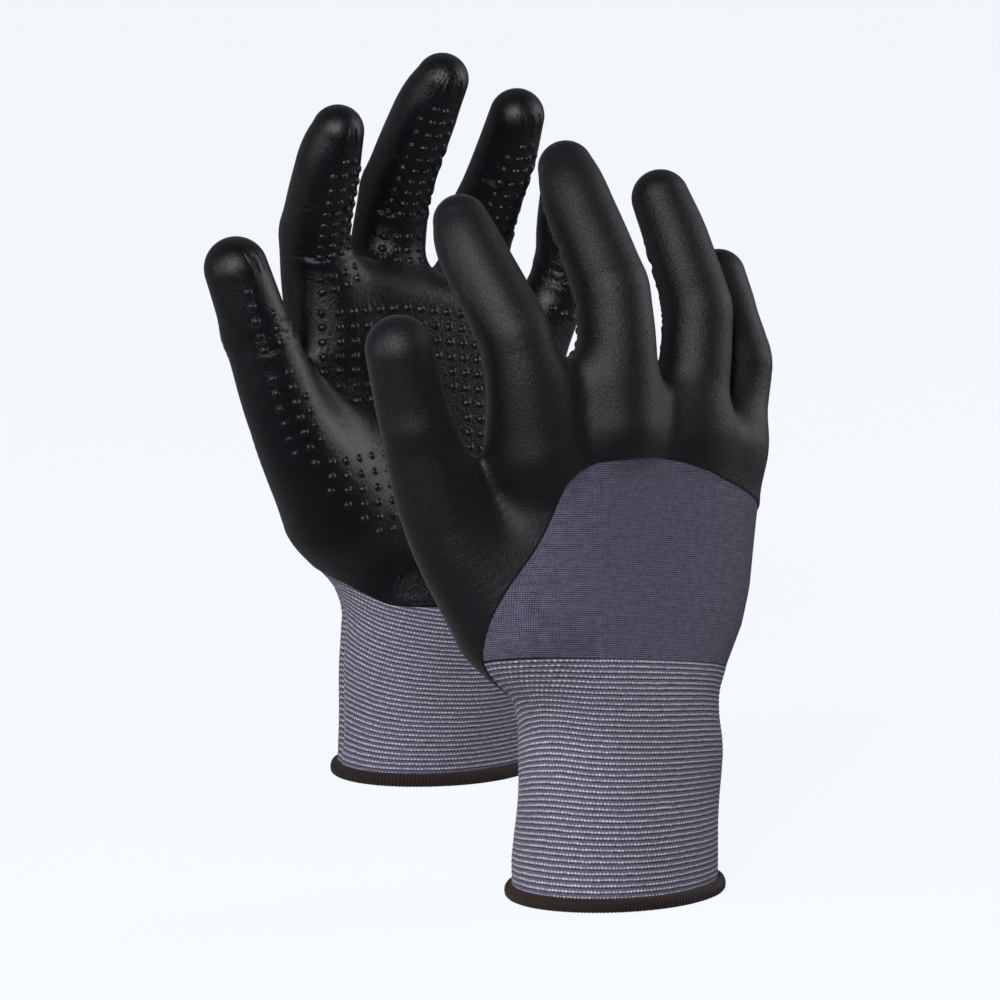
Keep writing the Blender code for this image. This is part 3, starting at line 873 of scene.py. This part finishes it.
def dots_on(p, n, radius=1.28, height=0.72):
    """A low dome of foam at each point, with a soft foot."""
    profile = [(1.32, -0.12), (1.12, 0.06), (0.98, 0.34), (0.78, 0.72), (0.45, 0.95), (0.0, 1.0)]
    sides = 10
    verts, faces, norms = [], [], []
    for c, m in zip(p, n):
        a = np.cross(m, [0.0, 0.0, 1.0])
        a /= np.linalg.norm(a)
        b = np.cross(m, a)
        start = len(verts)
        for r, h in profile[:-1]:
            for k in range(sides):
                w = 2 * math.pi * k / sides
                d = math.cos(w) * a + math.sin(w) * b
                verts.append(c + d * r * radius + m * h * height)
                lean = {1.32: 0.0, 1.12: 0.75, 0.98: 1.4, 0.78: 0.9, 0.45: 0.35}[r]
                q = d * lean + m
                norms.append(q / np.linalg.norm(q))
        verts.append(c + m * height)
        norms.append(m)
        for i in range(len(profile) - 2):
            for k in range(sides):
                o = start + i * sides
                e, f = o + k, o + (k + 1) % sides
                faces += [(e, e + sides, f + sides), (e, f + sides, f)]
        o = start + (len(profile) - 2) * sides
        for k in range(sides):
            faces.append((o + k, start + (len(profile) - 1) * sides, o + (k + 1) % sides))
    v, f, m = np.array(verts), np.array(faces), np.array(norms)
    flat = np.cross(v[f[:, 1]] - v[f[:, 0]], v[f[:, 2]] - v[f[:, 0]])
    if len(f) and (flat * m[f[:, 0]]).sum() < 0:
        f = f[:, ::-1]
    return (v, f, m, COAT, {"rest": v, "side": side_of(m)})


def finger_spots(line, arcs, turns):
    """Points on a finger's skin that far along, turned from the +y side towards +x, and their normals."""
    p = []
    for arc, turn in zip(arcs, turns):
        t = line.tangent(min(arc, line.total))
        y = np.array([0, 1.0, 0]) - t * t[1]
        y /= np.linalg.norm(y)
        x = np.cross(y, t)
        x = x if x[0] > 0 else -x
        d = math.cos(math.radians(turn)) * y + math.sin(math.radians(turn)) * x
        p.append(line.point(arc) + d * line.radius(arc) * 0.9)
    p = settle(np.array(p), 0.0, 6)
    g = gradient(hand, p)
    return p, g / np.linalg.norm(g, axis=1)[:, None]


def ribs_on(line, middle, turns, length):
    """Short raised ribs that run along the finger near its tip."""
    verts, faces, norms = [], [], []
    steps = 7
    share = np.linspace(0, 1, steps)
    arcs = np.tile(middle + length * (share - 0.5), len(turns))
    c, d = finger_spots(line, arcs, np.repeat(turns, steps))
    for j in range(len(turns)):
        start = len(verts)
        for i in range(steps):
            size = math.sin(math.pi * (0.08 + 0.84 * share[i])) ** 0.5
            k = j * steps + i
            w = np.cross(line.tangent(arcs[k]), d[k])
            for off, up in ((-0.55, -0.1), (-0.34, 0.3 * size), (0.0, 0.42 * size), (0.34, 0.3 * size),
                            (0.55, -0.1)):
                verts.append(c[k] + w * off * (0.6 + 0.4 * size) + d[k] * up)
                q = w * off * 1.6 + d[k]
                norms.append(q / np.linalg.norm(q))
        for i in range(steps - 1):
            for k in range(4):
                e = start + i * 5 + k
                faces += [(e, e + 1, e + 6), (e, e + 6, e + 5)]
    v, f, m = np.array(verts), np.array(faces), np.array(norms)
    flat = np.cross(v[f[:, 1]] - v[f[:, 0]], v[f[:, 2]] - v[f[:, 0]])
    if (flat * m[f[:, 0]]).sum() < 0:
        f = f[:, ::-1]
    return (v, f, m, COAT, {"rest": v, "side": side_of(m)})


PITCH = 5.0
# the turn of each column of dots about its finger, and how it drifts per mm back from the tip
COLUMNS = {"index": [(-24, -0.08), (-4, -0.08), (18, -0.08), (39, -0.08)],
           "middle": [(-43, 0.0), (-22, 0.0), (-2, 0.0), (20, 0.0)],
           "ring": [(-34, 0.0), (-13, 0.0), (8, 0.0), (29, 0.0)],
           "little": [(-28, 0.0), (-4, 0.0), (20, 0.0)],
           "thumb": [(-20.5, -0.3), (20.5, -0.62), (41, -0.62)]}


def finger_dots(name, past_cut):
    """Rows of dots on one finger, on the far side of its cut or on the near side."""
    line = LINES[name]
    at = line.hinge_arc - CUT
    last = {"thumb": 66.0, "little": line.total - 10.0}.get(name, line.total - 17.0)
    spots = []
    for r, back in enumerate(np.arange(6.4, last, PITCH)):
        arc = line.total - back
        if (arc > at) != past_cut or abs(arc - at) < 1.9:
            continue
        for c, (turn, drift) in enumerate(COLUMNS[name]):
            if r == 0 and c in (0, len(COLUMNS[name]) - 1) and name != "thumb":
                continue
            if name == "thumb" and back < (0, 12, 42)[c]:
                continue
            spots.append((arc, turn + drift * back))
    return finger_spots(line, *zip(*spots)) if spots else (np.zeros((0, 3)), np.zeros((0, 3)))


def palm_dots():
    """Square lattices over the pads of the palm and the ball of the thumb; the hollow stays smooth."""
    x, z = np.meshgrid(-48.3 + 5.15 * np.arange(18), 160.8 - 4.95 * np.arange(14), indexing="ij")
    x, z = x.reshape(-1), z.reshape(-1)
    pad = (x < -14) & (x > -49 + 0.9 * np.maximum(141 - z, 0)) & (z > 128)
    heel = x > np.interp(z, [105, 114, 123, 131, 136, 141, 146], [5, 3, 1, -1, -2.5, -7, -13])
    keep = (pad | heel) & (x < 39 - 0.06 * (160 - z))
    x, z = x[keep], z[keep]
    z = z - 0.19 * np.maximum(x + 18, 0)
    above_dip = z > 98
    x, z = x[above_dip], z[above_dip]
    ball_x, ball_z = np.meshgrid(-61.2 + 6.1 * np.arange(6), 113.3 - 5.05 * np.arange(6), indexing="ij")
    ball_x, ball_z = ball_x.reshape(-1), ball_z.reshape(-1)
    keep = ball_x > -60.5 + np.maximum(103 - ball_z, 0) * 1.2 - 1.5 * (ball_z > 110)
    return np.vstack([np.stack([x, z], 1), np.stack([ball_x[keep], ball_z[keep]], 1)])


def grips():
    """The dots of the palm and the finger roots, and those of each finger."""
    p, n, good = palm_surface(palm_dots())
    roots = [(p[good], n[good])]
    tips = {}
    for name in LINES:
        tips[name] = finger_dots(name, True)
        q, m = finger_dots(name, False)
        clear = np.array([np.linalg.norm(roots[0][0] - c, axis=1).min() > 3.6 for c in q], bool)
        roots.append((q[clear], m[clear]))
    return np.vstack([r[0] for r in roots]), np.vstack([r[1] for r in roots]), tips


# Pieces ------------------------------------------------------------------------------------------

for side in ("right", "left"):
    LINES = lines_of(side)
    skin, tris, inner, low_tris = skin_of()
    finger_skins, palm_skin = cut_up(skin, tris)
    finger_linings, palm_lining = cut_up(inner, low_tris)
    root_p, root_n, tip_dots = grips()
    body = side + "_glove"
    above = clip(*palm_lining, cuff_field(palm_lining[0][:, 6:9]), 1)
    for name, node, parts in (("_coat", "_coating", coated(side) + [dots_on(root_p, root_n)]),
                              ("_knit", "_liner", knitted(side) + [lining_part(*above)]),
                              ("_stripes", "_cuff", cuff(side)),
                              ("_overlock", "_hem", hem())):
        piece = make(side + name, side, parts)
        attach(piece, body)
        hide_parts(side + node)
    for name, line in LINES.items():
        parts = [coat_part(*finger_skins[name]), dots_on(*tip_dots[name])]
        turns = [c[0] for c in COLUMNS[name][-3:]] if name != "thumb" else (4, 18, 32)
        parts.append(ribs_on(line, line.total + 2.0, [t - 4 for t in turns], 9.0))
        parts.append(lining_part(*finger_linings[name]))
        piece = make(side + "_" + name, side, parts)
        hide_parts(side + "_" + name + "_finger", side + "_" + name + "_knuckle")
        start, end = [place(line.point(line.hinge_arc + d), side)[0] for d in (-SLEEVE / 2, SLEEVE / 2)]
        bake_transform(piece)

# Stage -------------------------------------------------------------------------------------------

scene = bpy.context.scene
scene.view_settings.view_transform = "Standard"

PAPER = srgb(245, 248, 253)


def backdrop(name, obj, glow):
    """A pale surface that is seen but lights nothing; glow is the share that doesn't take shadows."""
    obj.name = name
    paper = Nodes(name + "_paper", 0.9)
    paper.shader.inputs["Base Color"].default_value = tuple(0.1 * c for c in PAPER[:3]) + (1,)
    paper.shader.inputs["Specular IOR Level"].default_value = 0.0
    paper.shader.inputs["Emission Color"].default_value = PAPER
    paper.shader.inputs["Emission Strength"].default_value = glow
    obj.data.materials.append(paper.material)
    obj.visible_diffuse = obj.visible_glossy = obj.visible_shadow = False


bpy.ops.mesh.primitive_plane_add(size=14, location=(0, 0, 0))
backdrop("floor", bpy.context.object, 0.965)
bpy.ops.mesh.primitive_uv_sphere_add(segments=64, ring_count=32, radius=7)
backdrop("room", bpy.context.object, 0.972)
room = bpy.context.object.data.materials[0].node_tree.nodes["Principled BSDF"]
room.inputs["Base Color"].default_value = (0, 0, 0, 1)

world = bpy.data.worlds.new("studio")
scene.world = world
world.use_nodes = True
world.node_tree.nodes["Background"].inputs["Color"].default_value = (0.9, 0.95, 1.0, 1)
world.node_tree.nodes["Background"].inputs["Strength"].default_value = 0.12


def softbox(name, place_at, size, power):
    """A cool rectangular light that faces the middle of the gloves."""
    data = bpy.data.lights.new(name, "AREA")
    data.shape = "RECTANGLE"
    data.size, data.size_y = size
    data.energy = power
    data.color = (0.94, 0.97, 1.0)
    obj = bpy.data.objects.new(name, data)
    scene.collection.objects.link(obj)
    obj.location = place_at
    obj.rotation_euler = (Vector((0, 0, 0.12)) - Vector(place_at)).to_track_quat("-Z", "Y").to_euler()


softbox("key", (-0.4, -1.55, 0.9), (0.8, 0.7), 24)
softbox("left", (-1.3, -0.6, 0.3), (0.4, 0.9), 4)
softbox("rim", (1.3, 0.45, 0.5), (0.5, 0.9), 6)

TILT = math.radians(10)
AWAY = 3.5
PX_PER_MM = 3.08  # at the target, in a view 1000 pixels wide
target = Vector((0.0056, -0.0202, 0.115))
camera_data = bpy.data.cameras.new("camera")
camera_data.sensor_width = 36
camera_data.lens = 36 * PX_PER_MM * 3500 / 1000
camera_data.clip_end = 20
camera = bpy.data.objects.new("camera", camera_data)
scene.collection.objects.link(camera)
camera.location = target + Vector((0, -math.cos(TILT), math.sin(TILT))) * AWAY
camera.rotation_euler = (math.radians(90) - TILT, 0, 0)
scene.camera = camera
